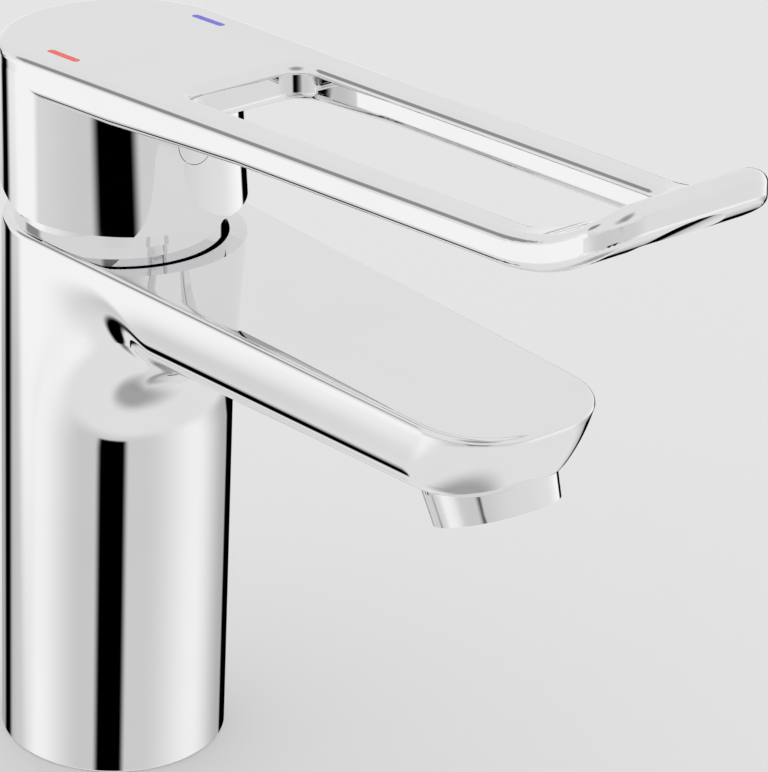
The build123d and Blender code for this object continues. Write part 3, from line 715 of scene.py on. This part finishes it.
class TAP_OT_marks(bpy.types.Operator):
    """Fills the hot and cold marks with enamel"""

    bl_idname = "tap.marks"
    bl_label = "Temperature marks"

    def execute(self, context):
        colours = context.scene.tap_colours
        dress(("hot_mark",), mark_enamel("hot_enamel", tuple(colours.hot)))
        dress(("cold_mark",), mark_enamel("cold_enamel", tuple(colours.cold)))
        return {"FINISHED"}


class TAP_OT_cartridge(bpy.types.Operator):
    """Finishes the cartridge: discs, shell, carrier, stem, nut and temperature stop"""

    bl_idname = "tap.cartridge"
    bl_label = "Cartridge"

    def execute(self, context):
        colours = context.scene.tap_colours
        shell = moulded("grey_plastic", tuple(colours.grey_plastic), roughness=0.4, grain=2200, depth=0.00003)
        stop = moulded("red_plastic", tuple(colours.red_plastic), roughness=0.38, grain=2200, depth=0.00003)
        steel = turned_metal("turned_steel", tuple(colours.steel), roughness=0.24, grain=5200)
        brass = turned_metal("turned_brass", tuple(colours.brass), roughness=0.28, grain=3800)
        dress(CERAMIC_NODES, fired_ceramic(tuple(colours.ceramic)))
        dress(GREY_PLASTIC_NODES, shell)
        dress(STEEL_NODES, steel)
        dress(("cartridge_nut",), brass)
        dress(("temperature_stop",), stop)
        return {"FINISHED"}


class TAP_OT_seals(bpy.types.Operator):
    """Finishes the gasket and every seal in black rubber"""

    bl_idname = "tap.seals"
    bl_label = "Gasket and seals"

    def execute(self, context):
        tint = tuple(context.scene.tap_colours.rubber)
        dress(RUBBER_NODES, moulded("black_rubber", tint, roughness=0.58, grain=3000, depth=0.00004))
        return {"FINISHED"}


class TAP_OT_jet(bpy.types.Operator):
    """Finishes the jet former in the nozzle"""

    bl_idname = "tap.jet"
    bl_label = "Jet former"

    def execute(self, context):
        tint = tuple(context.scene.tap_colours.white_plastic)
        former = moulded("white_plastic", tint, roughness=0.36, grain=2600, depth=0.00002)
        dress(("aerator_insert",), former)
        return {"FINISHED"}


def display_light(shade):
    """The light that shows as a screen shade from 0 to 255 in the plating, by the usual screen curve."""
    part = shade / 255
    linear = part / 12.92 if part <= 0.04045 else ((part + 0.055) / 1.055) ** 2.4
    return linear / PLATING


def compass(azimuth, elevation):
    """The unit vector of a direction: azimuth 0 is the way the spout points and +90 the tap's right."""
    a, e = math.radians(azimuth), math.radians(elevation)
    return (math.sin(a) * math.cos(e), -math.cos(a) * math.cos(e), math.sin(e))


class Room:
    """The photographer's room as the plating sees it: pale screens all round, dark flags between them."""

    def __init__(self, nodes):
        self.nodes = nodes
        self.place = nodes.add("ShaderNodeTexCoord").outputs["Generated"]
        apart = nodes.add("ShaderNodeSeparateXYZ")
        nodes.feed(self.place, apart.inputs[0])
        x, y, z = apart.outputs
        bearing = nodes.math("ARCTAN2", x, nodes.math("MULTIPLY", y, -1.0))
        self.azimuth = nodes.math("MULTIPLY", bearing, 180 / math.pi)
        self.elevation = nodes.math("MULTIPLY", nodes.math("ARCSINE", z), 180 / math.pi)

    def screens(self, stops):
        """Brightness round the compass: (azimuth, shade) pairs joined smoothly."""
        nodes = self.nodes
        ramp = nodes.add("ShaderNodeValToRGB")
        ramp.color_ramp.interpolation = "EASE"
        turned = nodes.math("DIVIDE", nodes.math("ADD", self.azimuth, 180.0), 360.0)
        nodes.feed(turned, ramp.inputs[0])
        while len(ramp.color_ramp.elements) < len(stops):
            ramp.color_ramp.elements.new(0.5)
        for element, (azimuth, shade) in zip(ramp.color_ramp.elements, stops):
            element.position = (azimuth + 180) / 360
            level = display_light(shade)
            element.color = (level, level, level, 1)
        return ramp.outputs[0]

    def flag(self, level, centre, half_width, softness, low, high):
        """The level darkened inside a band of azimuths between two elevations, with soft edges."""
        nodes = self.nodes
        away = nodes.math("ABSOLUTE", nodes.math("SUBTRACT", self.azimuth, centre))
        away = nodes.math("MINIMUM", away, nodes.math("SUBTRACT", 360.0, away))
        inside = nodes.step(away, half_width - softness / 2, half_width + softness / 2, 1.0, 0.0)
        above = nodes.step(self.elevation, low - FLAG_EDGE, low + FLAG_EDGE)
        below = nodes.step(self.elevation, high - FLAG_EDGE, high + FLAG_EDGE, 1.0, 0.0)
        dark = nodes.math("MULTIPLY", inside, nodes.math("MULTIPLY", above, below))
        return nodes.math("MULTIPLY", level, nodes.math("SUBTRACT", 1.0, dark))

    def patch(self, level, azimuth, elevation, radius, softness, shade):
        """The level changed to a shade inside a round patch with a soft edge."""
        nodes = self.nodes
        dot = nodes.add("ShaderNodeVectorMath", operation="DOT_PRODUCT")
        nodes.feed(self.place, dot.inputs[0])
        dot.inputs[1].default_value = compass(azimuth, elevation)
        away = nodes.math("MULTIPLY", nodes.math("ARCCOSINE", dot.outputs["Value"]), 180 / math.pi)
        inside = nodes.step(away, radius - softness / 2, radius + softness / 2, 1.0, 0.0)
        return nodes.mix(inside, level, display_light(shade))


def light_room(nodes):
    """The room's brightness in every direction."""
    room = Room(nodes)
    low = room.screens(LOW_SCREENS)
    middle = room.screens(MIDDLE_SCREENS)
    under = (display_light(FLOOR_SHADE), display_light(UNDER_SHADE))
    level = nodes.mix(nodes.step(room.elevation, *LOW_TO_MIDDLE), low, middle)
    level = nodes.mix(nodes.step(room.elevation, *MIDDLE_TO_CEILING), level, display_light(CEILING_SHADE))
    deep = nodes.step(room.elevation, *FLOOR_TO_UNDER, *under)
    level = nodes.mix(nodes.step(room.elevation, *LOW_TO_FLOOR), level, deep)
    for patch in PATCHES:
        level = room.patch(level, *patch)
    for flag in FLAGS:
        level = room.flag(level, *flag)
    return level


class TAP_OT_studio(bpy.types.Operator):
    """Makes the floor, the room and the camera"""

    bl_idname = "tap.studio"
    bl_label = "Studio"

    def execute(self, context):
        setup = context.scene.tap_studio
        self.make_floor(context, setup)
        self.make_room(context, setup)
        self.make_camera(context, setup)
        context.scene.view_settings.view_transform = "Standard"
        return {"FINISHED"}

    def make_floor(self, context, setup):
        """A wide pale floor that keeps the tap's shadow. Reflections look through it into the room."""
        count = FLOOR_CELLS + 1
        across = np.linspace(-FLOOR_REACH, FLOOR_REACH, count)
        x, y = np.meshgrid(across, across)
        points = np.stack([x, y, np.full_like(x, -SKIN)], -1).reshape(-1, 3)
        row, column = np.mgrid[0:FLOOR_CELLS, 0:FLOOR_CELLS]
        corner = row * count + column
        corners = (corner, corner + 1, corner + count + 1, corner + count)
        faces = np.stack(corners, -1).reshape(-1, 4)
        mesh = bpy.data.meshes.new("floor")
        mesh.from_pydata(points.tolist(), [], faces.tolist())
        floor = bpy.data.objects.new("floor", mesh)
        context.scene.collection.objects.link(floor)
        made, nodes = material("pale_floor")
        path = nodes.add("ShaderNodeLightPath")
        matt = nodes.add("ShaderNodeBsdfDiffuse")
        tint = tuple(setup.floor)
        cloudy = nodes.mix_colour(nodes.noise(scale=2.2, detail=2), tint, shaded(tint, factor=0.985))
        nodes.feed(cloudy, matt.inputs["Color"])
        clear = nodes.add("ShaderNodeBsdfTransparent")
        both = nodes.add("ShaderNodeMixShader")
        nodes.feed(path.outputs["Is Glossy Ray"], both.inputs[0])
        nodes.feed(matt.outputs[0], both.inputs[1])
        nodes.feed(clear.outputs[0], both.inputs[2])
        output = nodes.add("ShaderNodeOutputMaterial")
        nodes.feed(both.outputs[0], output.inputs["Surface"])
        mesh.materials.append(made)

    def make_room(self, context, setup):
        """Plain light for matt surfaces, a pale backdrop for the camera, the room for reflections."""
        world = bpy.data.worlds.new("room")
        context.scene.world = world
        world.use_nodes = True
        nodes = Nodes(world.node_tree)
        path = nodes.add("ShaderNodeLightPath")
        level = nodes.mix(path.outputs["Is Glossy Ray"], setup.room_light, light_room(nodes))
        level = nodes.mix(path.outputs["Is Camera Ray"], level, BACKDROP)
        background = nodes.add("ShaderNodeBackground")
        nodes.feed(level, background.inputs["Color"])
        output = nodes.add("ShaderNodeOutputWorld")
        nodes.feed(background.outputs[0], output.inputs["Surface"])

    def make_camera(self, context, setup):
        """A long lens from above the front left, turned a little about its own axis."""
        camera = bpy.data.objects.new("camera", bpy.data.cameras.new("camera"))
        context.scene.collection.objects.link(camera)
        camera.data.sensor_fit = "HORIZONTAL"
        camera.data.sensor_width = setup.sensor
        camera.data.lens = setup.lens
        right = Vector((math.cos(setup.azimuth), math.sin(setup.azimuth), 0))
        back = Vector(compass(math.degrees(setup.azimuth), math.degrees(setup.elevation)))
        up = back.cross(right)
        turn = Matrix.Rotation(setup.roll, 3, back)
        pose = Matrix((turn @ right, turn @ up, back)).transposed().to_4x4()
        pose.translation = Vector(setup.stand)
        camera.matrix_world = pose
        context.scene.camera = camera


class TAP_PT_panel(bpy.types.Panel):
    """Lists the tap's pieces, sizes and colours"""

    bl_idname = "TAP_PT_panel"
    bl_label = "Elbow lever tap"
    bl_space_type = "VIEW_3D"
    bl_region_type = "UI"
    bl_category = "Tap"

    def draw(self, context):
        layout = self.layout
        for operator in OPERATORS:
            layout.operator(operator.bl_idname)
        for group in GROUPS:
            box = layout.box()
            box.label(text=group.__doc__)
            for name in group.__annotations__:
                box.prop(getattr(context.scene, GROUPS[group]), name)


# Where each group of settings is kept on the scene, and the operators in the order they run in
GROUPS = {
    BodySizes: "tap_body",
    ChromeFinish: "tap_chrome",
    InsideColours: "tap_colours",
    StudioSetup: "tap_studio",
}
OPERATORS = (
    TAP_OT_body,
    TAP_OT_chrome,
    TAP_OT_marks,
    TAP_OT_cartridge,
    TAP_OT_seals,
    TAP_OT_jet,
    TAP_OT_studio,
)


def register():
    """Registers the settings, the operators and the panel."""
    for group in GROUPS:
        bpy.utils.register_class(group)
        setattr(bpy.types.Scene, GROUPS[group], PointerProperty(type=group))
    for operator in OPERATORS:
        bpy.utils.register_class(operator)
    bpy.utils.register_class(TAP_PT_panel)


def unregister():
    """Takes them away again, in the opposite order."""
    bpy.utils.unregister_class(TAP_PT_panel)
    for operator in reversed(OPERATORS):
        bpy.utils.unregister_class(operator)
    for group in reversed(GROUPS):
        delattr(bpy.types.Scene, GROUPS[group])
        bpy.utils.unregister_class(group)


def main():
    """Runs every operator in order."""
    register()
    for operator in OPERATORS:
        family, name = operator.bl_idname.split(".")
        getattr(getattr(bpy.ops, family), name)()


if __name__ == "__main__":
    main()
